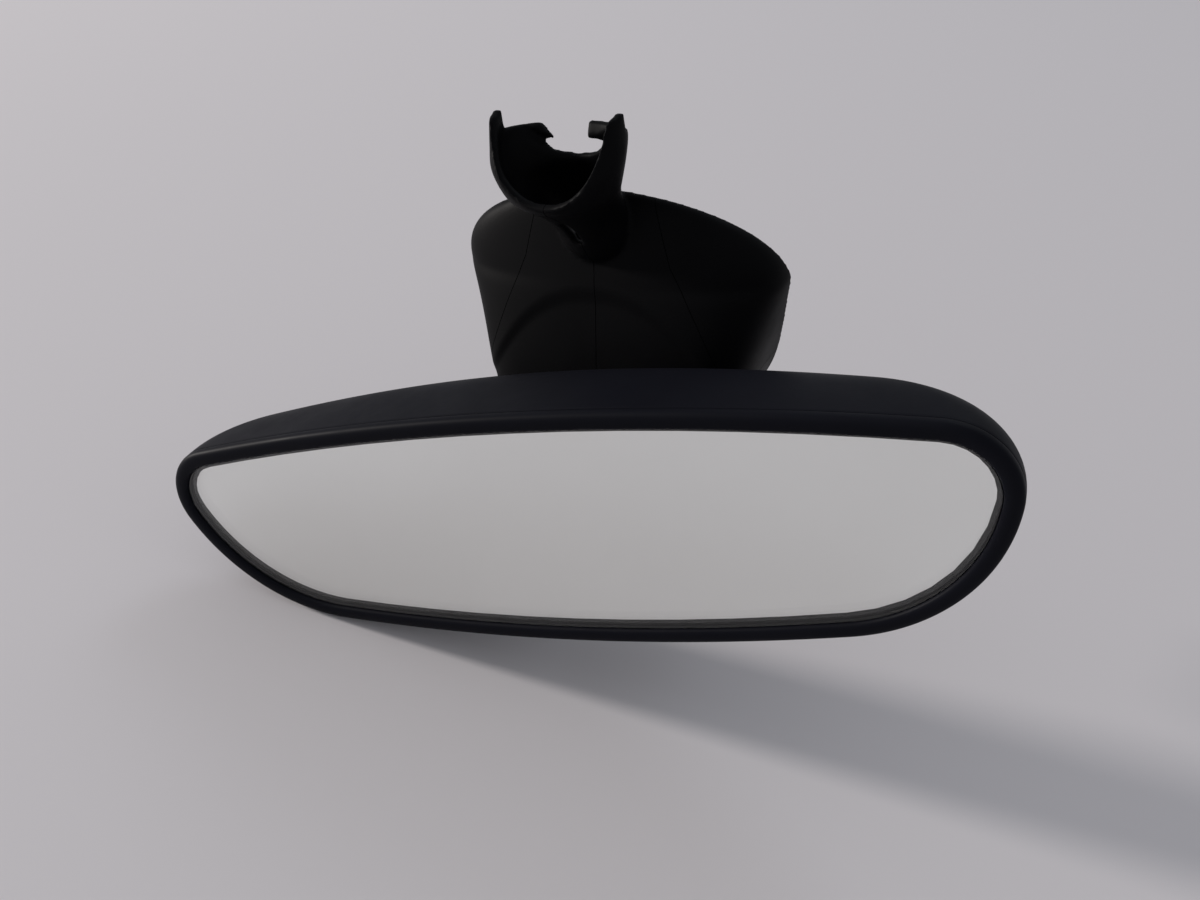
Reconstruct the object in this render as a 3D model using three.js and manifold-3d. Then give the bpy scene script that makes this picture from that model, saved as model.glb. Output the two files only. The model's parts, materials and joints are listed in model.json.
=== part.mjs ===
// Interior rearview mirror: a self-dimming mirror head on a ball joint, its arm and windscreen foot,
// and the four-piece cover whose neck ends in a fish-mouth clip for the cable cover above it.
// Millimetres, +Z up, the glass faces -Y. The origin is the centre of the foot's windscreen face.
import * as THREE from "three";
import { mergeVertices } from "three/addons/utils/BufferGeometryUtils.js";
import Module from "manifold-3d";

const wasm = await Module();
wasm.setup();

// ---- Driving dimensions ----
const BALL = { y: -50, z: -35, radius: 7 }; // ball centre seen from the foot
const WINDSCREEN_LEAN = 23.5; // degrees between the windscreen's normal and +Y
const HEAD_TURN = { yaw: 8, roll: 8 }; // degrees that the head is turned and tipped on its ball

// Outline of the glass opening: four arcs on each half, from the top centre round to the bottom centre.
const OPENING = { top: 803, shoulder: 14, flank: 47, topTurn: 7.5, shoulderTurn: 97.4, flankTurn: 67.8 };
const LIP_Y = -24; // front of the bezel's lip, from the ball
const OPENING_DROP = 2; // the opening's centre hangs this far below the ball
const LIP_WIDTH = 4.6;
const BEZEL_DEPTH = 3;
const HOUSING_DEPTH = 33;
const WALL = 2.2;

const GLASS = { front: 1.2, thick: 2.0, seal: 0.4, inset: 0.3, mirror: 2.0 };

const COVER = { top: 73, bottom: -10, halfWidth: 50, widestZ: 47 };
const SEAM_GAP = 0.4;
// The panel lines run down from the cover's top: half the distance between them, and the height.
const PANEL_LINE = [[17, 73], [22.4, 54], [30, 39.5], [36.3, 26.5], [63.7, -30]];
const NECK_WALL = 2.4;
const MOUTH = { radius: 16.4, y: 10, z: 96, tilt: 21.8 }; // round seat for the cable cover

const GAP = 0.3; // between pieces that touch
const LAYER_GAP = 0.1; // between stacked flat layers

const rad = THREE.MathUtils.degToRad;

// ---- Geometry helpers ----
function toSolid(geometry) {
  const bare = geometry.index ? geometry.toNonIndexed() : geometry.clone();
  bare.deleteAttribute("normal");
  bare.deleteAttribute("uv");
  const merged = mergeVertices(bare, 1e-4);
  return new wasm.Manifold(
    new wasm.Mesh({
      numProp: 3,
      vertProperties: new Float32Array(merged.attributes.position.array),
      triVerts: new Uint32Array(merged.index.array),
    }),
  );
}

function toGeometry(solid) {
  const mesh = solid.getMesh();
  const geometry = new THREE.BufferGeometry();
  geometry.setAttribute("position", new THREE.BufferAttribute(new Float32Array(mesh.vertProperties), 3));
  geometry.setIndex(new THREE.BufferAttribute(new Uint32Array(mesh.triVerts), 1));
  geometry.computeVertexNormals();
  return geometry;
}

function placed(geometry, position, rotation = [0, 0, 0]) {
  const turn = new THREE.Quaternion().setFromEuler(new THREE.Euler(...rotation.map(rad)));
  const matrix = new THREE.Matrix4().compose(new THREE.Vector3(...position), turn, new THREE.Vector3(1, 1, 1));
  return geometry.applyMatrix4(matrix);
}

// Triangles of a grid of points: rows are closed loops with the same number of points.
// With `ring` the last row joins the first; without it each end row is closed by a fan.
function skin(rows, ring = false) {
  const count = rows[0].length;
  const points = rows.flat();
  const faces = [];
  const rowPairs = ring ? rows.length : rows.length - 1;
  for (let r = 0; r < rowPairs; r++) {
    const next = (r + 1) % rows.length;
    for (let i = 0; i < count; i++) {
      const j = (i + 1) % count;
      const [a, b, c, d] = [r * count + i, r * count + j, next * count + j, next * count + i];
      faces.push(a, b, c, a, c, d);
    }
  }
  if (!ring) {
    capFan(points, faces, 0, count, true);
    capFan(points, faces, (rows.length - 1) * count, count, false);
  }
  const geometry = new THREE.BufferGeometry();
  geometry.setAttribute("position", new THREE.Float32BufferAttribute(points.flat(), 3));
  geometry.setIndex(faces);
  return facingOut(geometry);
}

function capFan(points, faces, start, count, reversed) {
  const centre = [0, 1, 2].map((k) => points.slice(start, start + count).reduce((s, p) => s + p[k], 0) / count);
  const hub = points.push(centre) - 1;
  for (let i = 0; i < count; i++) {
    const [a, b] = [start + i, start + ((i + 1) % count)];
    faces.push(...(reversed ? [hub, b, a] : [hub, a, b]));
  }
}

function facingOut(geometry) {
  const p = geometry.attributes.position;
  const index = geometry.index.array;
  const [a, b, c] = [new THREE.Vector3(), new THREE.Vector3(), new THREE.Vector3()];
  let volume = 0;
  for (let i = 0; i < index.length; i += 3) {
    a.fromBufferAttribute(p, index[i]);
    b.fromBufferAttribute(p, index[i + 1]);
    c.fromBufferAttribute(p, index[i + 2]);
    volume += a.dot(b.cross(c));
  }
  if (volume < 0) for (let i = 0; i < index.length; i += 3) [index[i], index[i + 1]] = [index[i + 1], index[i]];
  return geometry;
}

function box(size, position) {
  return toSolid(placed(new THREE.BoxGeometry(...size), position));
}

// A closed or axis-to-axis profile of [radius, y] pairs, turned about the Y direction.
function turned(profile, segments, position = [0, 0, 0]) {
  const points = profile.map(([r, y]) => new THREE.Vector2(r, y));
  const lathe = placed(new THREE.LatheGeometry(points, segments), position);
  return toSolid(facingOut(mergeVertices(stripped(lathe), 1e-4)));
}

function stripped(geometry) {
  geometry.deleteAttribute("normal");
  geometry.deleteAttribute("uv");
  return geometry;
}

// A prism from an outline in X and Z, from y0 to y1.
function prism(outline, y0, y1) {
  const shape = new THREE.Shape(outline.map(([x, z]) => new THREE.Vector2(x, z)));
  const geometry = new THREE.ExtrudeGeometry(shape, { depth: y1 - y0, bevelEnabled: false });
  return toSolid(placed(geometry, [0, y1, 0], [90, 0, 0]));
}

function roundedRect(width, height, radius, steps = 5, cx = 0, cz = 0) {
  const outline = [];
  for (let corner = 0; corner < 4; corner++) {
    const sx = corner === 0 || corner === 3 ? 1 : -1;
    const sz = corner < 2 ? 1 : -1;
    for (let k = 0; k <= steps; k++) {
      const t = rad(90 * (corner + k / steps));
      const x = cx + sx * (width / 2 - radius) + radius * Math.cos(t);
      outline.push([x, cz + sz * (height / 2 - radius) + radius * Math.sin(t)]);
    }
  }
  return outline;
}

const power = (value, exponent) => Math.sign(value) * Math.abs(value) ** exponent;

// ---- Head outline ----
// A chain of tangent arcs keeps its turns when it is offset, so a parallel outline only changes the radii.
function headOutline(offset, detail = 1) {
  const turns = [OPENING.topTurn, OPENING.shoulderTurn, OPENING.flankTurn].map(rad);
  turns.push(Math.PI - turns[0] - turns[1] - turns[2]);
  const radii = [OPENING.top, OPENING.shoulder, OPENING.flank];
  let heading = 0;
  let reach = 0;
  radii.forEach((r, k) => {
    reach += r * (Math.sin(heading + turns[k]) - Math.sin(heading));
    heading += turns[k];
  });
  radii.push(reach / Math.sin(heading));
  const steps = [7, 7, 7, 5].map((n) => Math.round(n * detail));
  const half = arcChain(radii.map((r) => r + offset), turns, steps);
  const height = half[0][1] - half.at(-1)[1];
  const top = height / 2 - OPENING_DROP;
  const right = half.map(([x, z]) => [x, z + top]);
  const left = right.slice(1, -1).reverse().map(([x, z]) => [-x, z]);
  return [...right, ...left];
}

function arcChain(radii, turns, steps) {
  const points = [[0, 0]];
  let heading = 0;
  let [x, z] = [0, 0];
  radii.forEach((r, k) => {
    const [cx, cz] = [x - r * Math.sin(heading), z - r * Math.cos(heading)];
    for (let i = 1; i <= steps[k]; i++) {
      const h = heading + (turns[k] * i) / steps[k];
      [x, z] = [cx + r * Math.sin(h), cz + r * Math.cos(h)];
      points.push([x, z]);
    }
    heading += turns[k];
  });
  return points;
}

const atDepth = (outline, depth) => outline.map(([x, z]) => [x, LIP_Y + depth, z]);

// A plate with the head's outline, from one depth behind the lip to another.
function headPlate(offset, from, to, detail = 1) {
  const outline = headOutline(offset, detail);
  return toSolid(skin([atDepth(outline, from), atDepth(outline, to)]));
}

// The housing's back: each section is the head's outline, pulled in along X and Z as it gets deeper.
function housingSection(depth, inset) {
  const t = Math.min(Math.max(depth - BEZEL_DEPTH, 0) / (HOUSING_DEPTH - inset - BEZEL_DEPTH), 1);
  const narrow = (1 - t ** 2.5) ** 0.38;
  const shallow = (1 - t ** 8) ** 0.28;
  const centre = -OPENING_DROP;
  return headOutline(LIP_WIDTH - inset).map(([x, z]) => [
    x * (0.1 + 0.9 * narrow),
    LIP_Y + depth,
    centre + (z - centre) * (0.08 + 0.92 * shallow),
  ]);
}

function housingBody(inset, from, steps) {
  const rows = [];
  for (let k = 0; k <= steps; k++) {
    const depth = from + (HOUSING_DEPTH - inset - from) * Math.sin((Math.PI / 2) * (k / steps));
    rows.push(housingSection(depth, inset));
  }
  return toSolid(skin(rows));
}

// ---- Cover shape, in the ball's frame ----
const lean = rad(WINDSCREEN_LEAN);
const rimY = (z) => -BALL.y - (z + BALL.z) * Math.tan(lean);

// How far a height is below the cover's widest level, from 0 there to 1 at the bottom.
const below = (z) => Math.min(Math.max((COVER.widestZ - z) / (COVER.widestZ - COVER.bottom), 0), 1);

// Half width of the cover at a height: widest at the shoulders, round at the top and at the bottom.
function coverHalfWidth(z) {
  const above = Math.min(Math.max((z - COVER.widestZ) / (COVER.top - COVER.widestZ), 0), 1);
  const low = below(z);
  return COVER.halfWidth * (1 - above ** 2.1) ** 0.55 * (1 - 0.06 * low) * (1 - low ** 5) ** 0.5;
}

// Front of the cover on its middle line at a height: a straight slope that rounds under at the bottom.
function coverFront(z) {
  const slope = 20 + (z - 25) * 0.245;
  const t = Math.min(Math.max(14 - z, 0) / (14 - COVER.bottom), 1);
  return slope + (rimY(z) - 1 - slope) * (1 - (1 - t ** 2) ** 0.5);
}

function coverSection(z, inset, back, columns = 26) {
  const shrink = (COVER.top - COVER.bottom) / (COVER.top - COVER.bottom - 2 * inset);
  const middle = (COVER.top + COVER.bottom) / 2;
  const zLooked = inset ? middle + (z - middle) * shrink : z;
  const width = Math.max(coverHalfWidth(zLooked) - inset, 1);
  const rim = rimY(z) + back;
  const front = Math.min(coverFront(zLooked) + inset, rim - 0.5);
  const row = [];
  const low = below(zLooked);
  for (let i = 0; i <= columns; i++) {
    const t = (Math.PI * i) / columns;
    const across = power(Math.cos(t), 0.84 - 0.52 * low ** 0.35);
    const tuck = 1 - 0.32 * low * across ** 6;
    const deep = Math.max(Math.sin(t), 0) ** (0.74 - 0.44 * low ** 0.35);
    row.push([-width * across * tuck, rim - (rim - front) * deep, z]);
  }
  return row;
}

function coverBody(inset, back) {
  const [low, high] = [COVER.bottom + inset, COVER.top - inset];
  const rows = [];
  const steps = 18;
  for (let k = 0; k <= steps; k++) {
    const t = 0.5 - 0.5 * Math.cos(Math.PI * (0.03 + 0.94 * (k / steps)));
    rows.push(coverSection(low + (high - low) * t, inset, back));
  }
  return toSolid(skin(rows));
}

// The neck leaves the cover's upper front, bends up and opens into the cup. Each ring: its centre in y
// and z, how far it is tipped, and its half width and half depth.
const NECK = [
  [42, 56, 62, 9.5, 8.5],
  [31.5, 62, 60, 10.5, 9],
  [27.5, 68.5, 40, 11, 8.5],
  [23.7, 73.5, 30, 12.5, 9],
  [20, 77, 23, 14.6, 10.3],
  [17.2, 80, 22.5, 16.8, 11.1],
  [16.5, 86, 18, 18.9, 12],
  [18, 91, 14, 19.2, 12.3],
  [19.4, 97.6, 10, 18.7, 12.5],
];

function neckBody(inset, raise) {
  const sides = 28;
  const rows = NECK.map(([y, z, tip, a, b], k) => {
    const top = k === NECK.length - 1 ? raise : 0;
    const row = [];
    for (let i = 0; i < sides; i++) {
      const t = (2 * Math.PI * i) / sides;
      const reach = (b - inset) * Math.sin(t);
      const [dy, dz] = [reach * Math.cos(rad(tip)), reach * Math.sin(rad(tip))];
      row.push([(a - inset) * Math.cos(t), y + dy, z + dz + top]);
    }
    return row;
  });
  return toSolid(skin(rows));
}

// Everything above the fish mouth: a round seat in front, and a low wall with two hooks behind.
function mouthCut() {
  const outline = [];
  const steps = 20;
  for (let k = 0; k <= steps; k++) {
    const t = Math.PI + (Math.PI * k) / steps;
    outline.push([MOUTH.radius * Math.cos(t), MOUTH.radius * Math.sin(t)]);
  }
  outline.push([MOUTH.radius, 20], [-MOUTH.radius, 20]);
  const seat = toSolid(
    placed(
      skin([outline.map(([x, z]) => [x, -30, z]), outline.map(([x, z]) => [x, 12, z])]),
      [0, MOUTH.y, MOUTH.z],
      [MOUTH.tilt, 0, 0],
    ),
  );
  const hookOutline = [
    [-25, 92.5], [-10, 92.5], [-5.5, 88.5], [-8, 88.2], [-6.5, 85.6], [0, 84.5],
    [6.5, 85.6], [8, 88.4], [3.8, 88.6], [3.8, 92.8], [25, 92.8], [25, 112], [-25, 112],
  ];
  return seat.add(prism(hookOutline, 20, 60)).add(box([2.4, 16, 8], [-0.7, 18, 65.5]));
}

// The front panels: the wedge between the two panel lines, and the whole neck above them.
// side is -1 or 1 for one half, and 0 for both.
function panelWedge(side, grow) {
  const zLow = PANEL_LINE.at(-1)[1];
  const line = PANEL_LINE.map(([x, z]) => [x + grow, z]).reverse();
  const right = [...line, [40, COVER.top + 1], [40, 120]];
  const mirrored = right.map(([x, z]) => [-x, z]).reverse();
  const seam = SEAM_GAP / 2;
  if (side > 0) return prism([[seam, zLow], ...right, [seam, 120]], -60, 120);
  if (side < 0) return prism([[-seam, 120], ...mirrored, [-seam, zLow]], -60, 120);
  return prism([...right, ...mirrored], -60, 120);
}

// ---- Head pieces, in the head's frame: origin at the ball, glass facing -Y ----
const glassBack = GLASS.front + GLASS.thick;
const mirrorFront = glassBack + GLASS.seal + 2 * LAYER_GAP;
const mirrorBack = mirrorFront + GLASS.mirror;
const PAD = { front: mirrorBack + LAYER_GAP, thick: 1.6 };
const CARRIER = { front: PAD.front + PAD.thick + LAYER_GAP, thick: 1.8, width: 190, height: 44 };
const carrierBack = CARRIER.front + CARRIER.thick;
const BOARD = { front: carrierBack + 2.2, thick: 1.6, x: 58, width: 66, height: 30 };
const boardBack = BOARD.front + BOARD.thick;
const SENSOR_X = 62;
const CONNECTOR = { x: 40, z: -9, width: 16, height: 9, depth: 15, wall: 1.5 };
const CARRIER_SCREWS = [[-84, 11], [-84, -14], [84, 11], [84, -14]].map(([x, z]) => [x, z - OPENING_DROP]);
const SOCKET = { liner: 8.5, pad: 10.2, bore: 10.8, wall: 12.3, flange: 17.6, opening: 12.6, screwRing: 14.9 };
const SOCKET_SCREW_ANGLES = [45, 135, 225, 315];

const behindLip = (depth) => LIP_Y + depth;

function rodY(radius, y0, y1, x = 0, z = 0, segments = 20) {
  return turned([[0, y0], [radius, y0], [radius, y1], [0, y1]], segments, [x, 0, z]);
}

function bezel() {
  const lip = [
    [0.0, 1.4], [0.25, 0.6], [1.1, 0.1], [2.3, 0.0], [3.6, 0.3], [4.35, 0.9], [LIP_WIDTH, 1.6],
    [LIP_WIDTH - 0.1, BEZEL_DEPTH], [1.4, BEZEL_DEPTH], [0.9, BEZEL_DEPTH + 2.2], [0.0, BEZEL_DEPTH + 2.2],
  ];
  return toSolid(skin(lip.map(([offset, depth]) => atDepth(headOutline(offset), depth)), true));
}

function rearHousing() {
  const shell = housingBody(0, BEZEL_DEPTH + GAP, 8).subtract(housingBody(WALL, BEZEL_DEPTH - 1, 6));
  const back = behindLip(HOUSING_DEPTH);
  const bosses = CARRIER_SCREWS.map(([x, z]) =>
    rodY(3, behindLip(carrierBack + GAP), behindLip(HOUSING_DEPTH - 2.5), x, z, 14),
  );
  const holes = CARRIER_SCREWS.map(([x, z]) => rodY(1.3, behindLip(0), behindLip(carrierBack + 6), x, z, 10));
  const body = bosses.reduce((sum, boss) => sum.add(boss), shell);
  const opening = rodY(SOCKET.opening, back - 8, back + 4, 0, 0, 32);
  const window = rodY(3.4, back - 8, back + 4, SENSOR_X, 0, 16);
  const plugWay = box([CONNECTOR.width + 1.2, 20, CONNECTOR.height + 1.2], [CONNECTOR.x, back, CONNECTOR.z]);
  return [...holes, opening, window, plugWay].reduce((left, cut) => left.subtract(cut), body);
}

function edgeSeal() {
  const rows = [
    [-1.4, glassBack + LAYER_GAP], [-0.5, glassBack + LAYER_GAP],
    [-0.5, mirrorFront - LAYER_GAP], [-1.4, mirrorFront - LAYER_GAP],
  ];
  return toSolid(skin(rows.map(([offset, depth]) => atDepth(headOutline(offset), depth)), true));
}

function carrierPlate(width, height, front, back, radius) {
  const outline = roundedRect(width, height, radius, 4, 0, -OPENING_DROP);
  return prism(outline, behindLip(front), behindLip(back));
}

function glassCarrier() {
  const plate = carrierPlate(CARRIER.width, CARRIER.height, CARRIER.front, carrierBack, 14);
  const sensorHole = rodY(2.6, LIP_Y, 0, SENSOR_X, 0, 14);
  const holes = CARRIER_SCREWS.map(([x, z]) => rodY(1.6, LIP_Y, 0, x, z, 12));
  return [sensorHole, ...holes].reduce((left, hole) => left.subtract(hole), plate);
}

function bondingPad() {
  const plate = carrierPlate(CARRIER.width - 6, CARRIER.height - 4, PAD.front, PAD.front + PAD.thick, 13);
  const holes = CARRIER_SCREWS.map(([x, z]) => rodY(3.4, LIP_Y, 0, x, z, 12));
  return [rodY(3.4, LIP_Y, 0, SENSOR_X, 0, 14), ...holes].reduce((left, hole) => left.subtract(hole), plate);
}

function circuitBoard() {
  const outline = roundedRect(BOARD.width, BOARD.height, 3, 3, BOARD.x, -OPENING_DROP);
  const board = prism(outline, behindLip(BOARD.front), behindLip(boardBack));
  const clear = CARRIER_SCREWS.map(([x, z]) => rodY(4.2, LIP_Y, 0, x, z, 14));
  return clear.reduce((left, hole) => left.subtract(hole), board);
}

function boardConnector() {
  const { x, z, width, height, depth, wall } = CONNECTOR;
  const front = behindLip(boardBack + LAYER_GAP);
  const shell = box([width, depth, height], [x, front + depth / 2, z]);
  return shell.subtract(box([width - 2 * wall, depth, height - 2 * wall], [x, front + wall + depth / 2, z]));
}

function screwY(x, z, headY, direction, head, shank, length) {
  const [d, r] = [direction, shank];
  const profile = [
    [0, headY - d * 0.6], [head * 0.42, headY - d * 0.6], [head * 0.42, headY - d * 1.5],
    [head * 0.8, headY - d * 1.5], [head, headY - d * 0.9], [head, headY],
    [r, headY], [r, headY + d * (length - 1)], [r * 0.4, headY + d * length], [0, headY + d * length],
  ];
  return turned(profile, 10, [x, 0, z]);
}

// Spherical shell round the ball between two angles from the +Y axis.
function ballShell(inner, outer, from, to, segments = 22) {
  const steps = 5;
  const arc = (r, a0, a1) =>
    Array.from({ length: steps + 1 }, (_, k) => {
      const a = rad(a0 + ((a1 - a0) * k) / steps);
      return [Math.max(r * Math.sin(a), 0), r * Math.cos(a)];
    });
  const outside = arc(outer, from, to);
  const inside = arc(inner, to, from);
  return turned([...outside, ...inside, outside[0]], segments);
}

function waveSpring() {
  const [inner, outer, thick, waves] = [4.2, 6.6, 0.5, 3];
  const middle = -(SOCKET.pad + 0.3 + 1.35);
  const rows = [];
  const steps = 36;
  for (let k = 0; k < steps; k++) {
    const t = (2 * Math.PI * k) / steps;
    const y = middle + 0.75 * Math.sin(waves * t);
    const at = (r, dy) => [r * Math.cos(t), y + dy, r * Math.sin(t)];
    rows.push([at(inner, 0), at(outer, 0), at(outer, thick), at(inner, thick)]);
  }
  return toSolid(skin(rows, true));
}

function socketCup() {
  const front = behindLip(carrierBack) + LAYER_GAP;
  const profile = [
    [0, front], [SOCKET.wall, front], [SOCKET.wall, -4.2], [SOCKET.flange, -4.2], [SOCKET.flange, -1.7],
    [SOCKET.bore, -1.7], [SOCKET.bore, front + 1.2], [0, front + 1.2],
  ];
  return withScrewHoles(turned(profile, 28));
}

function retainerRing() {
  const seat = SOCKET.liner + 0.3;
  const arc = [88, 80, 72, 64].map((a) => [seat * Math.sin(rad(a)), seat * Math.cos(rad(a))]);
  const profile = [
    ...arc, [seat * Math.sin(rad(64)) + 1.6, 5.6], [SOCKET.opening - 0.6, 5.6], [SOCKET.opening - 0.6, 1.2],
    [SOCKET.flange, 1.2], [SOCKET.flange, -1.4], [seat, -1.4], arc[0],
  ];
  return withScrewHoles(turned(profile, 28));
}

function withScrewHoles(body) {
  return SOCKET_SCREW_ANGLES.reduce((left, a) => {
    const [x, z] = [SOCKET.screwRing * Math.cos(rad(a)), SOCKET.screwRing * Math.sin(rad(a))];
    return left.subtract(rodY(1.5, -12, 8, x, z, 12));
  }, body);
}

// ---- Base pieces ----
// The foot's frame: origin on the windscreen face, +Y towards the glass, +Z up its slope.
const FOOT = { width: 34, height: 44, thick: 6 };
const FLANGE = { width: 24, height: 40, front: -11.6, back: -7.9 };
const FOOT_SCREW_Z = 14.8;

function windscreenFoot() {
  const plate = prism(roundedRect(FOOT.width, FOOT.height, 6), -FOOT.thick, 0);
  return [-1, 1].reduce((left, s) => left.subtract(rodY(1.8, -20, -1.2, 0, s * FOOT_SCREW_Z, 14)), plate);
}

function retainingSpring() {
  const leaf = [[-9, -6.3], [9, -6.3], [9, -6.9], [4, -7.6], [-4, -7.6], [-9, -6.9]];
  const rows = [-8, 8].map((z) => leaf.map(([x, y]) => [x, y, z]));
  return toSolid(skin(rows));
}

function armFlange() {
  const plate = prism(roundedRect(FLANGE.width, FLANGE.height, 5), FLANGE.front, FLANGE.back);
  return [-1, 1].reduce((left, s) => left.subtract(rodY(2.1, -20, 0, 0, s * FOOT_SCREW_Z, 14)), plate);
}

// The arm's tube runs from the ball's shank up into the flange: y, z and radius in the ball's frame.
const ARM_PATH = [
  [10.5, 0, 5.2], [16, 0, 5.6], [22, 2, 6], [27, 6, 6.3], [31, 12, 6.6], [34.5, 19, 7], [38.5, 28, 7.6],
];
const SHANK = { radius: 3.4, end: 18 };

function armTube() {
  const sides = 20;
  const rows = ARM_PATH.map(([y, z, r], k) => {
    const before = ARM_PATH[Math.max(k - 1, 0)];
    const after = ARM_PATH[Math.min(k + 1, ARM_PATH.length - 1)];
    const slope = Math.atan2(after[1] - before[1], after[0] - before[0]);
    const row = [];
    for (let i = 0; i < sides; i++) {
      const t = (2 * Math.PI * i) / sides;
      const across = r * Math.sin(t);
      row.push([r * Math.cos(t), y - across * Math.sin(slope), z + across * Math.cos(slope)]);
    }
    return row;
  });
  return toSolid(skin(rows));
}

function mirrorArm() {
  const tilt = (geometry) => placed(geometry, [0, -BALL.y, -BALL.z], [WINDSCREEN_LEAN, 0, 0]);
  const flange = toSolid(tilt(toGeometry(armFlange())));
  const shankHole = rodY(SHANK.radius + GAP, 0, SHANK.end + GAP);
  return largest(armTube().add(flange).subtract(shankHole));
}

function ballStud() {
  const steps = 9;
  const profile = [];
  const join = Math.asin(SHANK.radius / BALL.radius);
  for (let k = 0; k <= steps; k++) {
    const a = Math.PI - ((Math.PI - join) * k) / steps;
    profile.push([BALL.radius * Math.sin(a), BALL.radius * Math.cos(a)]);
  }
  profile[0][0] = 0;
  profile.push([SHANK.radius, SHANK.end - 0.8], [SHANK.radius - 0.8, SHANK.end], [0, SHANK.end]);
  return turned(profile, 22);
}

function coverBracket() {
  const outline = roundedRect(76, 32, 8, 4, 0, 4);
  const plate = prism(outline, -5.4, -3.0);
  const window = prism(roundedRect(FOOT.width + 2, FOOT.height + 2, 7), -12, 4);
  const ribs = [-1, 1].map((s) => box([2.2, 6, 26], [s * 34, -8.2, 3]));
  const bridge = prism(roundedRect(52, 11, 3, 4, 0, 23.5), -5.4, -3.0);
  return largest(ribs.reduce((sum, rib) => sum.add(rib), plate).add(bridge).subtract(window));
}

function coverClip(side) {
  const [x, y] = [side * 39.6, -4.2];
  const outer = box([1.6 + 3.4, 5.0, 9], [x, y, 3]);
  return outer.subtract(box([4.6, 3.4, 12], [x - side * 1.0, y, 3]));
}

// ---- Cover ----
function coverShell() {
  const outer = coverBody(0, 0).add(neckBody(0, 0));
  const cavity = coverBody(WALL, 6).add(neckBody(NECK_WALL, 3));
  const arch = [[-14, -40], [14, -40], [14, 6]];
  for (let k = 1; k < 8; k++) {
    const t = (Math.PI * k) / 8;
    arch.push([14 * Math.cos(t), 6 + 9 * Math.sin(t)]);
  }
  arch.push([-14, 6]);
  return outer.subtract(cavity).subtract(mouthCut()).subtract(prism(arch, -30, 70));
}

function largest(solid) {
  return solid.decompose().reduce((best, body) => (body.volume() > best.volume() ? body : best));
}

const side = (s) => box([200, 400, 400], [s * 100, 0, 0]);

// ---- Assembly ----
const plastic = { color: 0x15161a, roughness: 0.52, metalness: 0 };
const steel = { color: 0xb8bac0, roughness: 0.3, metalness: 1 };
const zinc = { color: 0x8d9096, roughness: 0.5, metalness: 0.9 };

const mirror = new THREE.Group();
const ballFrame = new THREE.Group();
ballFrame.position.set(0, BALL.y, BALL.z);
const footFrame = new THREE.Group();
footFrame.rotation.x = lean;
const headFrame = new THREE.Group();
headFrame.rotation.set(0, -rad(HEAD_TURN.roll), rad(HEAD_TURN.yaw), "ZYX");
mirror.add(ballFrame, footFrame);
ballFrame.add(headFrame);

function piece(parent, name, solid, look) {
  const mesh = new THREE.Mesh(toGeometry(solid), new THREE.MeshStandardMaterial(look));
  mesh.name = name;
  parent.add(mesh);
}

function addHead() {
  const green = { color: 0xb9cfc0, roughness: 0.05, metalness: 0, transparent: true, opacity: 0.4 };
  piece(headFrame, "front_bezel", bezel(), plastic);
  piece(headFrame, "rear_housing", rearHousing(), plastic);
  piece(headFrame, "front_glass", headPlate(-GLASS.inset, GLASS.front, glassBack), green);
  piece(headFrame, "edge_seal", edgeSeal(), { color: 0x0b0b0c, roughness: 0.8 });
  const mirrorLook = { color: 0xdfe2e0, roughness: 0.02, metalness: 1 };
  piece(headFrame, "mirror_glass", headPlate(-GLASS.inset - 0.4, mirrorFront, mirrorBack), mirrorLook);
  piece(headFrame, "bonding_pad", bondingPad(), { color: 0x26282b, roughness: 0.95 });
  piece(headFrame, "glass_carrier", glassCarrier(), { color: 0x2a2c30, roughness: 0.6 });
  piece(headFrame, "circuit_board", circuitBoard(), { color: 0x1d5a35, roughness: 0.5 });
  piece(headFrame, "board_connector", boardConnector(), { color: 0xe6e2d6, roughness: 0.5 });
  const chip = box([12, 1.6, 12], [72, behindLip(boardBack + LAYER_GAP) + 0.8, 6]);
  piece(headFrame, "control_chip", chip, { color: 0x121214, roughness: 0.4 });
  const glare = box([3.6, 1.8, 3.6], [SENSOR_X, behindLip(BOARD.front) - 1.0, 0]);
  piece(headFrame, "glare_sensor", glare, { color: 0x2c2f3a, roughness: 0.2 });
  const ambient = rodY(2.4, behindLip(boardBack + LAYER_GAP), behindLip(boardBack + 4), SENSOR_X, 0, 16);
  piece(headFrame, "ambient_sensor", ambient, { color: 0x30333c, roughness: 0.2 });
  const lens = rodY(3.1, behindLip(boardBack + 4 + GAP), behindLip(HOUSING_DEPTH - 1.2), SENSOR_X, 0, 20);
  const smoked = { color: 0x17181c, roughness: 0.08, transparent: true, opacity: 0.8 };
  piece(headFrame, "sensor_window", lens, smoked);
  CARRIER_SCREWS.forEach(([x, z], k) => {
    const screw = screwY(x, z, behindLip(CARRIER.front) - 0.05, 1, 2.8, 1.1, 7.6);
    piece(headFrame, `carrier_screw_${k + 1}`, screw, steel);
  });
}

function addBallJoint() {
  piece(ballFrame, "ball_stud", ballStud(), steel);
  const liner = ballShell(BALL.radius + GAP, SOCKET.liner, 62, 180);
  piece(headFrame, "friction_liner", liner, { color: 0xd9d4c4, roughness: 0.6 });
  const pad = ballShell(SOCKET.liner + GAP, SOCKET.pad, 130, 180);
  piece(headFrame, "pressure_pad", pad, { color: 0x2b2b2e, roughness: 0.5 });
  piece(headFrame, "wave_spring", waveSpring(), steel);
  piece(headFrame, "socket_cup", socketCup(), zinc);
  piece(headFrame, "retainer_ring", retainerRing(), { color: 0x1b1c1f, roughness: 0.5 });
  SOCKET_SCREW_ANGLES.forEach((a, k) => {
    const [x, z] = [SOCKET.screwRing * Math.cos(rad(a)), SOCKET.screwRing * Math.sin(rad(a))];
    piece(headFrame, `socket_screw_${k + 1}`, screwY(x, z, 1.25, -1, 2.2, 1.2, 7), steel);
  });
}

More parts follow.
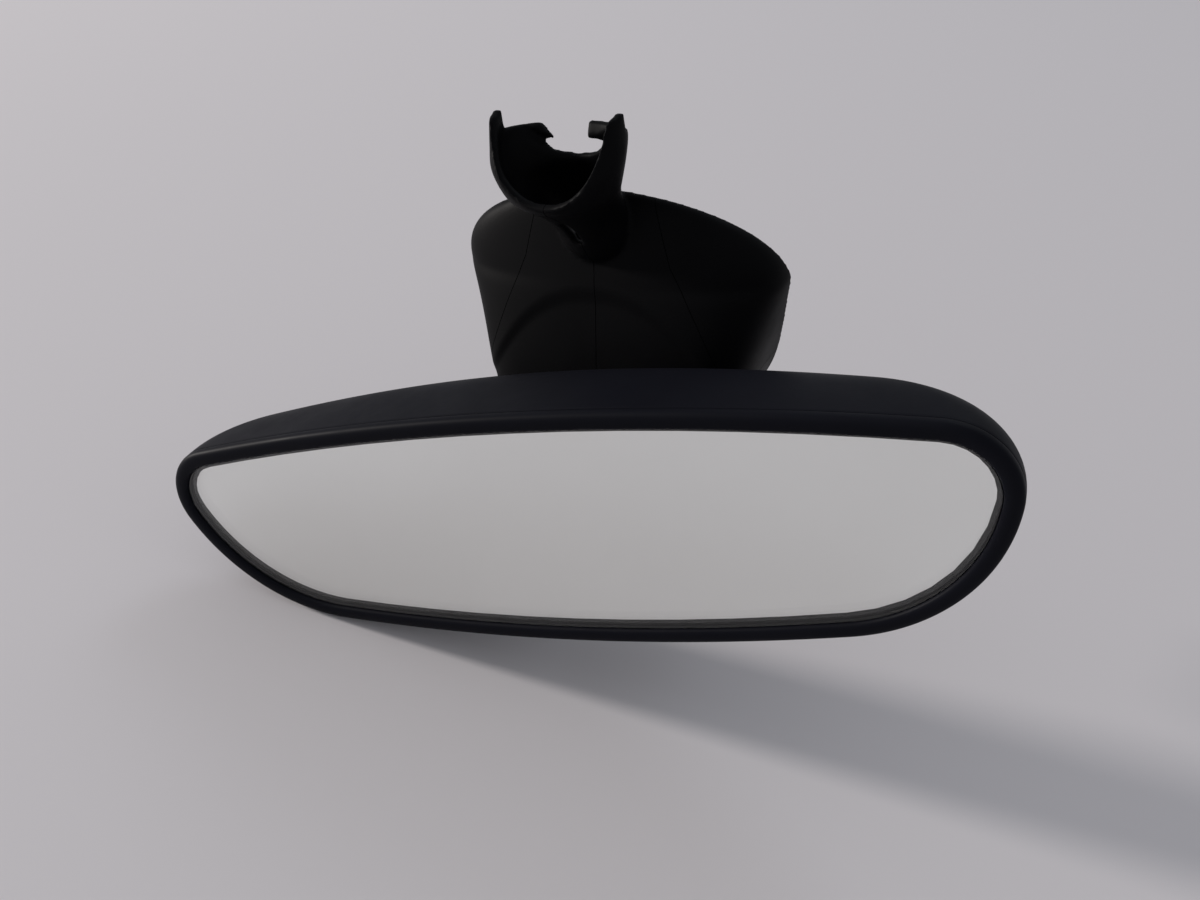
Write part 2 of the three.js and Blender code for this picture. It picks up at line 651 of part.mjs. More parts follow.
function addBase() {
  piece(footFrame, "windscreen_foot", windscreenFoot(), zinc);
  piece(footFrame, "retaining_spring", retainingSpring(), steel);
  piece(ballFrame, "mirror_arm", mirrorArm(), { color: 0x17181b, roughness: 0.55, metalness: 0.3 });
  [-1, 1].forEach((s, k) => {
    const screw = screwY(0, s * FOOT_SCREW_Z, FLANGE.front - 0.05, 1, 3.4, 1.5, 9.6);
    piece(footFrame, `arm_screw_${k + 1}`, screw, steel);
  });
  piece(footFrame, "cover_bracket", coverBracket(), { color: 0x202226, roughness: 0.6 });
  piece(footFrame, "cover_clip_left", coverClip(-1), steel);
  piece(footFrame, "cover_clip_right", coverClip(1), steel);
}

function addCover() {
  const shell = coverShell();
  const wings = shell.subtract(panelWedge(0, SEAM_GAP));
  piece(ballFrame, "cover_wing_left", largest(wings.subtract(side(1))), plastic);
  piece(ballFrame, "cover_wing_right", largest(wings.subtract(side(-1))), plastic);
  piece(ballFrame, "front_cover_left", largest(shell.intersect(panelWedge(-1, 0))), plastic);
  piece(ballFrame, "front_cover_right", largest(shell.intersect(panelWedge(1, 0))), plastic);
}

addBase();
addBallJoint();
addHead();
addCover();

export default mirror;
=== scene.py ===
import json
import math

import bmesh
import bpy
from mathutils import Matrix, Vector


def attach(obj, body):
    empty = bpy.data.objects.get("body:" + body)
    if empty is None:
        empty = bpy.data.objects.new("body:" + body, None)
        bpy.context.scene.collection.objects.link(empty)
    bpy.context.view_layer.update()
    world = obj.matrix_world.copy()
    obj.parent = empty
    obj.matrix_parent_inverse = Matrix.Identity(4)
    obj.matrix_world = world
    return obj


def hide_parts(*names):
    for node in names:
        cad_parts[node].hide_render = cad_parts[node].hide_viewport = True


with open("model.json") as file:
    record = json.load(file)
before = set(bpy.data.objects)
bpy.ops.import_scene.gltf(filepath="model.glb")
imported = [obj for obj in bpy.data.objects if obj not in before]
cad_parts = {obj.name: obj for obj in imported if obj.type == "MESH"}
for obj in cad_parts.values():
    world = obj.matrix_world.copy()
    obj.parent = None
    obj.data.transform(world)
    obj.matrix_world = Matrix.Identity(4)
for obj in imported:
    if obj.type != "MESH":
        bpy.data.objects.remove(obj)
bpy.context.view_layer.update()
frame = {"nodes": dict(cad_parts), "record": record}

# Interior rearview mirror. Lengths are millimetres until a mesh is written, which is in metres.
MM = 0.001
BALL = Vector((0.0, -50.0, -35.0))
LEAN = math.radians(23.5)  # of the cover's rear rim, from upright
TURN = math.radians(8.0)  # of the head about its ball, both sideways and tipped

# The glass opening: arcs from the top centre round to the bottom centre, with their radii and turns.
OPENING_RADII = (803.0, 14.0, 47.0)
OPENING_TURNS = (7.5, 97.4, 67.8)
ARC_STEPS = (7, 7, 7, 5)
LIP_Y = -24.0
DROP = 2.0  # of the opening's centre below the ball
LIP_WIDTH = 4.6
BEZEL_DEPTH = 3.0
HOUSING_DEPTH = 33.0
WALL = 2.2
NECK_WALL = 2.4
SEAM = 0.22
GLASS_FRONT, GLASS_THICK = 1.2, 2.0
MIRROR_FRONT, MIRROR_THICK = 3.8, 2.0

COVER_TOP, COVER_BOTTOM, COVER_HALF, COVER_WIDEST = 73.0, -10.0, 50.0, 47.0
COVER_SIDES, COVER_LEVELS = 96, 80
SLOPE_Y, SLOPE_Z, SLOPE = 20, 25, 0.245  # the cover's straight front passes through Y and Z, leaning back
UNDER_Z = 14  # below this height the front rounds under
PANEL_LINE = [(17, 73), (22.4, 54), (30, 39.5), (36.3, 26.5), (63.7, -30)]
MOUTH_RADIUS, MOUTH_Y, MOUTH_Z, MOUTH_TILT = 16.4, 10.0, 96.0, 21.8
PASSAGE_HALF, PASSAGE_Z, PASSAGE_RISE = 14, 6, 9  # arched passage for the arm in the cover's front
SLIT_SIZE, SLIT_AT = (2.4, 16, 8), (-0.7, 18, 65.5)
RECESS_TOP, RECESS_FALL, RECESS_HALF = 45.5, 21, 34  # shallow arch moulded into the front panels
SENSOR_X = 62.0
PLUG_X, PLUG_Z = 40.0, -9.0

# Camera, floor and lights, in metres and degrees; the camera's angles are from the head's axes.
CAMERA_AT = (0.1546, -0.2715, 0.1399)
CAMERA_AZIMUTH, CAMERA_DOWN, CAMERA_ROLL = 29.105, 28.0, -16.645
FLOOR_TILT = math.radians(12)
FLOOR_HALF = 3.0
LIT_AT = (0, -0.05, -0.03)

BALL_FRAME = Matrix.Translation(BALL)
HEAD_FRAME = BALL_FRAME @ Matrix.Rotation(TURN, 4, "Z") @ Matrix.Rotation(-TURN, 4, "Y")


# ---------------------------------------------------------------- mesh helpers
def new_object(name, verts, faces, place=BALL_FRAME):
    mesh = bpy.data.meshes.new(name)
    mesh.from_pydata([tuple(place @ Vector(v) * MM) for v in verts], [], faces)
    mesh.validate()
    obj = bpy.data.objects.new(name, mesh)
    bpy.context.scene.collection.objects.link(obj)
    tidy(obj)
    return obj


def tidy(obj):
    work = bmesh.new()
    work.from_mesh(obj.data)
    bmesh.ops.remove_doubles(work, verts=work.verts, dist=1e-7)
    bmesh.ops.recalc_face_normals(work, faces=work.faces)
    work.to_mesh(obj.data)
    work.free()


def loft(name, rows, place=BALL_FRAME, ring=False):
    """Joins rows of points into a skin. A ring joins its last row to its first; else both ends close."""
    count = len(rows[0])
    verts = [p for row in rows for p in row]
    faces = []
    for r in range(len(rows) if ring else len(rows) - 1):
        a, b = r * count, ((r + 1) % len(rows)) * count
        for i in range(count):
            j = (i + 1) % count
            faces.append((a + i, a + j, b + j, b + i))
    if not ring:
        faces.append(tuple(range(count))[::-1])
        faces.append(tuple(range((len(rows) - 1) * count, len(rows) * count)))
    return new_object(name, verts, faces, place)


def prism(name, outline, y0, y1, place=BALL_FRAME):
    return loft(name, [[(x, y, z) for x, z in outline] for y in (y0, y1)], place)


def baked(obj):
    graph = bpy.context.evaluated_depsgraph_get()
    mesh = bpy.data.meshes.new_from_object(obj.evaluated_get(graph))
    obj.modifiers.clear()
    old = obj.data
    obj.data = mesh
    bpy.data.meshes.remove(old)
    return obj


def boolean(obj, tool, operation="DIFFERENCE"):
    step = obj.modifiers.new("boolean", "BOOLEAN")
    step.operation = operation
    step.solver = "EXACT"
    step.object = tool
    baked(obj)
    drop(tool)
    return obj


def drop(obj):
    bpy.data.objects.remove(obj, do_unlink=True)


def copy_of(obj, name):
    new = bpy.data.objects.new(name, obj.data.copy())
    bpy.context.scene.collection.objects.link(new)
    return new


def bevelled(obj, width, segments=3, angle=35):
    step = obj.modifiers.new("bevel", "BEVEL")
    step.width = width * MM
    step.segments = segments
    step.limit_method = "ANGLE"
    step.angle_limit = math.radians(angle)
    step.harden_normals = False
    return baked(obj)


def smooth_shaded(obj, angle=32):
    obj.data.shade_smooth()
    obj.data.set_sharp_from_angle(angle=math.radians(angle))
    return obj


def finished(obj, body, slot, material, *nodes, angle=32):
    """Shades a piece, gives it its material and its body, and hides the CAD nodes it stands for."""
    smooth_shaded(obj, angle)
    obj.data.materials.clear()
    obj.data.materials.append(material)
    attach(obj, body)
    if nodes:
        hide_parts(*nodes)
    return obj


def power(value, exponent):
    return math.copysign(abs(value) ** exponent, value)


def clamp(value, low=0.0, high=1.0):
    return min(max(value, low), high)


def smoothstep(value):
    t = clamp(value)
    return t * t * (3 - 2 * t)


def spun(name, profile, place, sides=48, x=0.0, z=0.0):
    rows = []
    for r, y in profile:
        turn = [2 * math.pi * i / sides for i in range(sides)]
        rows.append([(x + r * math.cos(t), y, z + r * math.sin(t)) for t in turn])
    return loft(name, rows, place)


# ---------------------------------------------------------------- head shapes
def head_outline(offset, detail=6):
    """The glass opening's outline, moved outwards by an offset; the last arc closes each half."""
    turns = [math.radians(a) for a in OPENING_TURNS]
    turns.append(math.pi - sum(turns))
    radii = list(OPENING_RADII)
    heading = reach = 0.0
    for r, turn in zip(radii, turns):
        reach += r * (math.sin(heading + turn) - math.sin(heading))
        heading += turn
    radii.append(reach / math.sin(heading))
    half = [(0.0, 0.0)]
    heading = x = z = 0.0
    for r, turn, steps in zip(radii, turns, ARC_STEPS):
        r += offset
        cx, cz = x - r * math.sin(heading), z - r * math.cos(heading)
        for i in range(1, steps * detail + 1):
            h = heading + turn * i / (steps * detail)
            x, z = cx + r * math.sin(h), cz + r * math.cos(h)
            half.append((x, z))
        heading += turn
    top = (half[0][1] - half[-1][1]) / 2 - DROP
    right = [(px, pz + top) for px, pz in half]
    return right + [(-px, pz) for px, pz in reversed(right[1:-1])]


def at_depth(outline, depth):
    return [(x, LIP_Y + depth, z) for x, z in outline]


def housing_section(depth, inset):
    t = clamp((depth - BEZEL_DEPTH) / (HOUSING_DEPTH - inset - BEZEL_DEPTH))
    narrow = (1 - t**2.5) ** 0.38
    shallow = (1 - t**8) ** 0.28
    return [
        (x * (0.1 + 0.9 * narrow), LIP_Y + depth, -DROP + (z + DROP) * (0.08 + 0.92 * shallow))
        for x, z in head_outline(LIP_WIDTH - inset)
    ]


def housing_body(name, inset, start, steps):
    rows = []
    for k in range(steps + 1):
        depth = start + (HOUSING_DEPTH - inset - start) * math.sin(math.pi / 2 * k / steps)
        rows.append(housing_section(depth, inset))
    return loft(name, rows, HEAD_FRAME)


# ---------------------------------------------------------------- cover shapes
def rim_y(z):
    return -BALL.y - (z + BALL.z) * math.tan(LEAN)


def below(z):
    return clamp((COVER_WIDEST - z) / (COVER_WIDEST - COVER_BOTTOM))


def cover_half_width(z):
    above = clamp((z - COVER_WIDEST) / (COVER_TOP - COVER_WIDEST))
    low = below(z)
    return COVER_HALF * (1 - above**2.1) ** 0.55 * (1 - 0.06 * low) * (1 - low**5) ** 0.5


def cover_front(z):
    slope = SLOPE_Y + (z - SLOPE_Z) * SLOPE
    t = clamp(max(UNDER_Z - z, 0) / (UNDER_Z - COVER_BOTTOM))
    return slope + (rim_y(z) - 1 - slope) * (1 - (1 - t**2) ** 0.5)


def cover_section(z, inset, back):
    """One level of the cover: a squared-off half oval from the left rim round the front to the right rim."""
    shrink = (COVER_TOP - COVER_BOTTOM) / (COVER_TOP - COVER_BOTTOM - 2 * inset)
    middle = (COVER_TOP + COVER_BOTTOM) / 2
    looked = middle + (z - middle) * shrink
    width = max(cover_half_width(looked) - inset, 1)
    rim = rim_y(z) + back
    front = min(cover_front(looked) + inset, rim - 0.5)
    low = below(looked)
    row = []
    for i in range(COVER_SIDES + 1):
        t = math.pi * i / COVER_SIDES
        across = power(math.cos(t), 0.84 - 0.52 * low**0.5)
        tuck = 1 - 0.32 * low * across**6
        deep = max(math.sin(t), 0) ** (0.74 - 0.44 * low**0.5)
        row.append((-width * across * tuck, rim - (rim - front) * deep, z))
    return row


def cover_body(name, inset, back):
    low, high = COVER_BOTTOM + inset, COVER_TOP - inset
    rows = []
    for k in range(COVER_LEVELS + 1):
        t = 0.5 - 0.5 * math.cos(math.pi * (0.03 + 0.94 * k / COVER_LEVELS))
        rows.append(cover_section(low + (high - low) * t, inset, back))
    return loft(name, rows)


# The neck's sections from the bottom up: Y, Z, tip in degrees, half width and half depth.
NECK = [
    (42, 56, 62, 9.5, 8.5),
    (31.5, 62, 60, 10.5, 9),
    (27.5, 68.5, 40, 11, 8.5),
    (23.7, 73.5, 30, 12.5, 9),
    (20, 77, 23, 14.6, 10.3),
    (17.2, 80, 22.5, 16.8, 11.1),
    (16.5, 86, 18, 18.9, 12),
    (18, 91, 14, 19.2, 12.3),
    (19.4, 97.6, 10, 18.7, 12.5),
]


def between(p, q, r, s, t):
    """The Catmull-Rom value between q and r, with their neighbours p and s."""
    bend = (2 * p - 5 * q + 4 * r - s) * t * t
    return 0.5 * (2 * q + (r - p) * t + bend + (3 * q - p - 3 * r + s) * t**3)


def through(points, parts):
    """A smooth run through rows of numbers, with each gap split into parts."""
    run = []
    for k in range(len(points) - 1):
        a, b = points[max(k - 1, 0)], points[k]
        c, d = points[k + 1], points[min(k + 2, len(points) - 1)]
        for i in range(parts):
            t = i / parts
            run.append(tuple(between(*near, t) for near in zip(a, b, c, d)))
    run.append(tuple(points[-1]))
    return run


def neck_body(name, inset, lift):
    rows = []
    sides = 96
    run = through(NECK, 6)
    for k, (y, z, tip, a, b) in enumerate(run):
        raised = lift if k == len(run) - 1 else 0
        tip = math.radians(tip)
        row = []
        for i in range(sides):
            t = 2 * math.pi * i / sides
            reach = (b - inset) * math.sin(t)
            level = z + reach * math.sin(tip) + raised
            row.append(((a - inset) * math.cos(t), y + reach * math.cos(tip), level))
        rows.append(row)
    return loft(name, rows)


def mouth_tool():
    """The round seat cut into the cup, open at the top."""
    steps = 64
    outline = []
    for k in range(steps + 1):
        t = math.pi + math.pi * k / steps
        outline.append((MOUTH_RADIUS * math.cos(t), MOUTH_RADIUS * math.sin(t)))
    outline += [(MOUTH_RADIUS, 20), (-MOUTH_RADIUS, 20)]
    seat = Matrix.Translation(BALL + Vector((0, MOUTH_Y, MOUTH_Z)))
    seat = seat @ Matrix.Rotation(math.radians(MOUTH_TILT), 4, "X")
    return prism("mouth", outline, -30, 12, seat)


def hook_tool():
    """The gap between the two hooks of the cup's rear wall, and everything above them."""
    outline = [
        (-25, 92.5), (-10, 92.5), (-5.5, 88.5), (-8, 88.2), (-6.5, 85.6), (0, 84.5),
        (6.5, 85.6), (8, 88.4), (3.8, 88.6), (3.8, 92.8), (25, 92.8), (25, 112), (-25, 112),
    ]
    return prism("hooks", outline, 20, 60)


def passage_tool():
    """The arched way for the arm through the cover's front, open at the bottom."""
    steps = 32
    outline = [(-PASSAGE_HALF, -40), (PASSAGE_HALF, -40), (PASSAGE_HALF, PASSAGE_Z)]
    for k in range(1, steps):
        t = math.pi * k / steps
        outline.append((PASSAGE_HALF * math.cos(t), PASSAGE_Z + PASSAGE_RISE * math.sin(t)))
    outline.append((-PASSAGE_HALF, PASSAGE_Z))
    return prism("arch", outline, -30, 70)


def box_tool(size, centre, place=BALL_FRAME):
    (a, b, c), (x, y, z) = size, centre
    low, high = z - c / 2, z + c / 2
    outline = [(x - a / 2, low), (x + a / 2, low), (x + a / 2, high), (x - a / 2, high)]
    return prism("box", outline, y - b / 2, y + b / 2, place)


def wedge_tool(side, grow):
    """The space of the left (-1) or right (1) front panel, or of both (0), between the panel lines."""
    low_z = PANEL_LINE[-1][1]
    right = [(x + grow, z) for x, z in reversed(PANEL_LINE)] + [(40, COVER_TOP + 1), (40, 120)]
    left = [(-x, z) for x, z in reversed(right)]
    seam = SEAM / 2
    if side > 0:
        return prism("wedge", [(seam, low_z)] + right + [(seam, 120)], -60, 120)
    if side < 0:
        return prism("wedge", [(-seam, 120)] + left + [(-seam, low_z)], -60, 120)
    return prism("wedge", right + left, -60, 120)


def arch_recess(obj):
    """Sinks the front panels a little below a shallow arch, as the mould does over the ball joint."""
    for vertex in obj.data.vertices:
        x, y, z = vertex.co / MM - BALL
        arch = RECESS_TOP - RECESS_FALL * (abs(x) / RECESS_HALF) ** 2.3
        if y > 40 or z > 60 or abs(x) > 40:
            continue
        sunk = smoothstep((arch - z + 2.4) / 6) * smoothstep((38 - y) / 4)
        vertex.co.y += 0.75 * sunk * MM
        vertex.co.z += 0.1 * sunk * MM


# ---------------------------------------------------------------- materials
def material(name, base, rough, metallic=0.0, coat=0.0, grain=0.0, grain_scale=900.0, spread=0.12, **more):
    """A surface with clouded colour, smudged gloss, fine moulded or cast grain and, with edge, worn edges."""
    mat = bpy.data.materials.new(name)
    mat.use_nodes = True
    tree = mat.node_tree
    shader = tree.nodes["Principled BSDF"]
    link = tree.links.new
    where = tree.nodes.new("ShaderNodeTexCoord").outputs["Object"]

    def noise(scale, detail=3.0, roughness=0.55):
        node = tree.nodes.new("ShaderNodeTexNoise")
        node.inputs["Scale"].default_value = scale
        node.inputs["Detail"].default_value = detail
        node.inputs["Roughness"].default_value = roughness
        link(where, node.inputs["Vector"])
        return node.outputs["Fac"]

    def ranged(source, low, high, a=0.3, b=0.7):
        node = tree.nodes.new("ShaderNodeMapRange")
        node.inputs["From Min"].default_value = a
        node.inputs["From Max"].default_value = b
        node.inputs["To Min"].default_value = low
        node.inputs["To Max"].default_value = high
        link(source, node.inputs["Value"])
        return node.outputs["Result"]

    cloud = noise(22, 4)
    tint = tree.nodes.new("ShaderNodeMix")
    tint.data_type = "RGBA"
    tint.inputs["A"].default_value = (*[c * (1 - spread) for c in base], 1)
    tint.inputs["B"].default_value = (*[min(c * (1 + spread), 1) for c in base], 1)
    link(ranged(cloud, 0, 1), tint.inputs["Factor"])
    edge = more.get("edge")
    colour = tint.outputs["Result"]
    if edge:
        geometry = tree.nodes.new("ShaderNodeNewGeometry")
        worn = tree.nodes.new("ShaderNodeMix")
        worn.data_type = "RGBA"
        worn.inputs["B"].default_value = (*edge, 1)
        link(ranged(geometry.outputs["Pointiness"], 0, 0.5, 0.53, 0.62), worn.inputs["Factor"])
        link(colour, worn.inputs["A"])
        colour = worn.outputs["Result"]
    link(colour, shader.inputs["Base Color"])
    smudge = noise(60, 5, 0.65)
    link(ranged(smudge, rough - 0.06, rough + 0.06), shader.inputs["Roughness"])
    shader.inputs["Metallic"].default_value = metallic
    shader.inputs["Coat Weight"].default_value = coat
    shader.inputs["Specular IOR Level"].default_value = more.get("specular", 0.5)
    if grain:
        bump = tree.nodes.new("ShaderNodeBump")
        bump.inputs["Strength"].default_value = more.get("strength", 0.35)
        bump.inputs["Distance"].default_value = grain * MM
        link(noise(grain_scale, 2.0), bump.inputs["Height"])
        link(bump.outputs["Normal"], shader.inputs["Normal"])
    return mat


def glass_material():
    """Clear on its faces. Its cut edge is split by height: pale green below, where it can be seen, which is
    the glass's green edge brightened as a painted highlight, and near black above, which is painted shade.
    """
    mat = material("clear_glass", (0.93, 0.97, 0.94), 0.03, spread=0.02)
    tree = mat.node_tree
    shader = tree.nodes["Principled BSDF"]
    link = tree.links.new
    place = tree.nodes.new("ShaderNodeTexCoord")

    def along(source, direction):
        node = tree.nodes.new("ShaderNodeVectorMath")
        node.operation = "DOT_PRODUCT"
        node.inputs[1].default_value = direction
        link(source, node.inputs[0])
        return node.outputs["Value"]

    def math_node(operation, source, limit=0.5):
        node = tree.nodes.new("ShaderNodeMath")
        node.operation = operation
        link(source, node.inputs[0])
        node.inputs[1].default_value = limit
        return node.outputs[0]

    def blend(factor):
        node = tree.nodes.new("ShaderNodeMix")
        node.data_type = "RGBA"
        link(factor, node.inputs["Factor"])
        return node

    turn = HEAD_FRAME.to_3x3()
    facing = math_node("ABSOLUTE", along(place.outputs["Normal"], turn @ Vector((0, 1, 0))))
    face = math_node("GREATER_THAN", facing, 0.9)
    # Painted light on the cut edge: below this level it is pale green, a painted highlight, and above it near
    # black, painted shade.
    down = turn @ Vector((-0.3, 0, -1))
    level = down.dot(HEAD_FRAME.to_translation()) + 0.012
    edge = blend(math_node("GREATER_THAN", along(place.outputs["Object"], down), level))
    edge.inputs["A"].default_value = (0.008, 0.009, 0.009, 1)
    edge.inputs["B"].default_value = (0.2, 0.29, 0.24, 1)
    colour = blend(face)
    link(edge.outputs["Result"], colour.inputs["A"])
    colour.inputs["B"].default_value = (0.995, 1.0, 0.995, 1)
    link(colour.outputs["Result"], shader.inputs["Base Color"])
    rough = tree.nodes.new("ShaderNodeMapRange")
    rough.inputs["To Min"].default_value = 0.45
    rough.inputs["To Max"].default_value = 0.0
    link(face, rough.inputs["Value"])
    link(rough.outputs["Result"], shader.inputs["Roughness"])
    link(face, shader.inputs["Transmission Weight"])
    shader.inputs["IOR"].default_value = 1.5
    return mat


black = dict(grain=0.05, grain_scale=1500, strength=0.3, edge=(0.01, 0.01, 0.012), specular=0.06)
metal = dict(metallic=1.0)
LOOKS = {
    "cover_plastic": material("cover_black", (0.0018, 0.0018, 0.0023), 0.55, **black),
    "head_plastic": material("head_black", (0.0048, 0.0051, 0.0082), 0.5, **black),
    "mirror_glass": material("silvering", (0.985, 0.99, 0.97), 0.02, spread=0.01, **metal),
    "front_glass": glass_material(),
    "seal": material("seal_rubber", (0.004, 0.004, 0.004), 0.7, grain=0.04, grain_scale=700),
    "foam": material("foam_tape", (0.04, 0.04, 0.043), 0.9, grain=0.2, grain_scale=1600, strength=0.8),
    "carrier_plastic": material("carrier_grey", (0.05, 0.05, 0.055), 0.5, grain=0.05),
    "board": material(
        "solder_mask", (0.012, 0.1, 0.035), 0.35, coat=0.4, grain=0.03, grain_scale=500, spread=0.25
    ),
    "connector": material("nylon", (0.72, 0.68, 0.58), 0.45, grain=0.03),
    "chip": material("epoxy", (0.014, 0.014, 0.015), 0.5, grain=0.05, grain_scale=2500),
    "sensor": material("sensor_body", (0.04, 0.045, 0.06), 0.18, coat=0.6),
    "lens": material("smoked_lens", (0.01, 0.01, 0.013), 0.06, coat=1.0),
    "screw_steel": material(
        "zinc_plate", (0.55, 0.56, 0.58), 0.3, grain=0.03, grain_scale=400, spread=0.2, **metal
    ),
    "spring_steel": material("spring_steel", (0.42, 0.42, 0.44), 0.34, grain=0.03, grain_scale=600, **metal),
    "ball_steel": material("ground_steel", (0.68, 0.69, 0.7), 0.16, grain=0.01, grain_scale=300, **metal),
    "liner": material("acetal", (0.74, 0.7, 0.6), 0.4, grain=0.02),
    "pad": material("pad_nylon", (0.03, 0.03, 0.033), 0.45, grain=0.04),
    "zinc": material(
        "die_cast", (0.45, 0.46, 0.48), 0.42, grain=0.12, grain_scale=260, spread=0.15, **metal
    ),
    "ring": material("ring_nylon", (0.02, 0.02, 0.022), 0.48, grain=0.04),
    "arm": material("powder_coat", (0.016, 0.016, 0.018), 0.42, grain=0.15, grain_scale=700, strength=0.5),
    "bracket": material("bracket_nylon", (0.025, 0.025, 0.028), 0.5, grain=0.05),
}
for entry in frame["record"]["subparts"]:
    cad = frame["nodes"][entry["node"]]
    cad.data.materials.clear()
    cad.data.materials.append(LOOKS[entry["material_slot"]])


# ---------------------------------------------------------------- the head
def make_bezel():
    """The rolled front frame, from a ring of offsets and depths round the opening."""
    lip = [(0.0, 5.2), (0.0, 1.5), (0.03, 1.1), (0.14, 0.72), (0.35, 0.42), (0.66, 0.2), (1.1, 0.07)]
    lip += [(1.7, 0.01), (2.3, 0.0), (2.9, 0.05), (3.45, 0.2), (3.9, 0.45), (4.25, 0.8), (4.47, 1.2)]
    lip += [(4.58, 1.7), (4.6, 2.2), (4.6, 2.8), (4.54, 3.0), (1.4, 3.0), (0.9, 5.2)]
    rows = [at_depth(head_outline(offset), depth) for offset, depth in lip]
    bezel = loft("bezel_frame", rows, HEAD_FRAME, ring=True)
    finished(bezel, "mirror_head", "head_plastic", LOOKS["head_plastic"], "front_bezel")


def make_housing():
    shell = housing_body("head_shell", 0, BEZEL_DEPTH + 0.08, 40)
    boolean(shell, housing_body("inside", WALL, BEZEL_DEPTH - 1, 20))
    back = LIP_Y + HOUSING_DEPTH
    boolean(shell, spun("bore", [(12.6, back - 8), (12.6, back + 4)], HEAD_FRAME, 96))
    boolean(shell, spun("window", [(3.4, back - 8), (3.4, back + 4)], HEAD_FRAME, 48, SENSOR_X))
    boolean(shell, box_tool((17.2, 20, 10.2), (PLUG_X, back, PLUG_Z), HEAD_FRAME))
    bevelled(shell, 0.35, 2, 50)
    finished(shell, "mirror_head", "head_plastic", LOOKS["head_plastic"], "rear_housing")


def plate(name, offset, front, back, slot, node):
    ease = 0.1
    rows = [
        at_depth(head_outline(offset - ease), front),
        at_depth(head_outline(offset), front + ease),
        at_depth(head_outline(offset), back - ease),
        at_depth(head_outline(offset - ease), back),
    ]
    piece = loft(name, rows, HEAD_FRAME)
    finished(piece, "mirror_head", slot, LOOKS[slot], node, angle=20)


make_bezel()
make_housing()
plate("clear_front_glass", -0.12, GLASS_FRONT, GLASS_FRONT + GLASS_THICK, "front_glass", "front_glass")
plate("silvered_glass", -0.5, MIRROR_FRONT, MIRROR_FRONT + MIRROR_THICK, "mirror_glass", "mirror_glass")


# ---------------------------------------------------------------- the cover
def make_cover():
    """The hollow cover and neck, softened as one moulding and then cut along its seams into four pieces."""
    shell = boolean(cover_body("cover", 0, 0), neck_body("neck", 0, 0), "UNION")
    inside = boolean(cover_body("cavity", WALL, 6), neck_body("channel", NECK_WALL, 3), "UNION")
    boolean(shell, inside)
    boolean(shell, mouth_tool())
    boolean(shell, hook_tool())
    boolean(shell, box_tool(SLIT_SIZE, SLIT_AT))
    boolean(shell, passage_tool())
    even = shell.modifiers.new("even", "REMESH")
    even.mode = "VOXEL"
    even.voxel_size = 0.6 * MM
    soft = shell.modifiers.new("soft", "SMOOTH")
    soft.factor = 0.5
    soft.iterations = 7
    baked(shell)
    arch_recess(shell)
    for side, name in ((-1, "left"), (1, "right")):
        front = copy_of(shell, f"front_shell_{name}")
        boolean(front, wedge_tool(side, 0), "INTERSECT")
        finished(front, "base", "cover_plastic", LOOKS["cover_plastic"], f"front_cover_{name}")
        wing = copy_of(shell, f"wing_shell_{name}")
        boolean(wing, wedge_tool(0, SEAM))
        boolean(wing, box_tool((200, 400, 400), (-side * 100, 0, 0)))
        finished(wing, "base", "cover_plastic", LOOKS["cover_plastic"], f"cover_wing_{name}")
    drop(shell)


make_cover()


# ---------------------------------------------------------------- floor, light, camera
def lowest_along(up):
    """How low the object reaches along a direction, so that the floor just touches it."""
    pieces = [o for o in bpy.context.scene.objects if o.type == "MESH"]
    return min((o.matrix_world @ v.co).dot(up) for o in pieces for v in o.data.vertices)


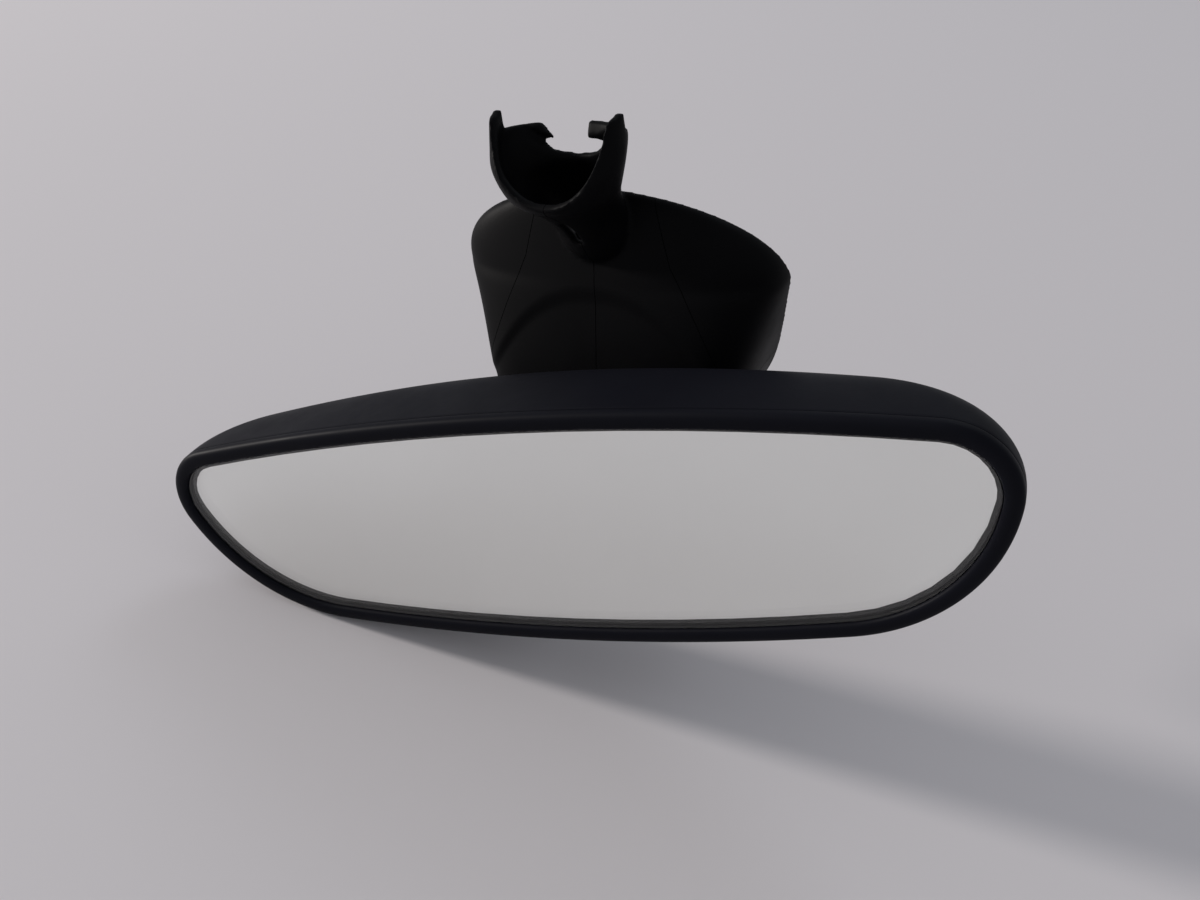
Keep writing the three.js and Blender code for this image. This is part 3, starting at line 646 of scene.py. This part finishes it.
def make_stage():
    tilt = Matrix.Rotation(TURN, 3, "Z") @ Matrix.Rotation(FLOOR_TILT, 3, "Y")
    up = tilt @ Vector((0, 0, 1))
    low = lowest_along(up) - 0.0005
    corners = [(x * FLOOR_HALF, y * FLOOR_HALF, low) for x, y in ((-1, -1), (1, -1), (1, 1), (-1, 1))]
    mesh = bpy.data.meshes.new("floor")
    mesh.from_pydata([tilt @ Vector(c) for c in corners], [], [(0, 1, 2, 3)])
    floor = bpy.data.objects.new("floor", mesh)
    bpy.context.scene.collection.objects.link(floor)
    mat = bpy.data.materials.new("pale_floor")
    mat.use_nodes = True
    shader = mat.node_tree.nodes["Principled BSDF"]
    shader.inputs["Base Color"].default_value = (0.745, 0.717, 0.732, 1)
    shader.inputs["Roughness"].default_value = 0.9
    shader.inputs["Specular IOR Level"].default_value = 0.1
    floor.data.materials.append(mat)


def area_light(name, at, size, watts, colour):
    data = bpy.data.lights.new(name, "AREA")
    data.shape = "DISK"
    data.size = size
    data.energy = watts
    data.color = colour
    lamp = bpy.data.objects.new(name, data)
    lamp.location = at
    lamp.rotation_euler = (Vector(LIT_AT) - Vector(at)).to_track_quat("-Z", "Y").to_euler()
    bpy.context.scene.collection.objects.link(lamp)


def make_camera():
    """Looks from the front right, down at the head and rolled against it."""
    a, e, r = (math.radians(v) for v in (CAMERA_AZIMUTH, CAMERA_DOWN, CAMERA_ROLL))
    back = Vector((math.sin(a) * math.cos(e), -math.cos(a) * math.cos(e), math.sin(e)))
    right = (-back).cross(Vector((0, 0, 1))).normalized()
    up = right.cross(-back)
    right, up = right * math.cos(r) + up * math.sin(r), up * math.cos(r) - right * math.sin(r)
    turn = HEAD_FRAME.to_3x3()
    columns = [turn @ v for v in (right, up, back)]
    data = bpy.data.cameras.new("camera")
    data.sensor_width = 36
    data.lens = 34.5
    data.clip_start = 0.01
    camera = bpy.data.objects.new("camera", data)
    pose = Matrix((columns[0], columns[1], columns[2])).transposed().to_4x4()
    pose.translation = Vector(CAMERA_AT)
    camera.matrix_world = pose
    bpy.context.scene.collection.objects.link(camera)
    bpy.context.scene.camera = camera


make_stage()
area_light("key", (-3.57, -0.81, 1.6), 0.5, 150.0, (1.0, 0.95, 0.91))
area_light("top", (0.35, 1.5, 1.6), 0.9, 3.2, (0.82, 0.9, 1.0))
world = bpy.data.worlds.new("studio")
bpy.context.scene.world = world
world.use_nodes = True
world.node_tree.nodes["Background"].inputs["Color"].default_value = (0.93, 0.95, 1.0, 1)
world.node_tree.nodes["Background"].inputs["Strength"].default_value = 0.41
make_camera()
bpy.context.scene.view_settings.view_transform = "Standard"
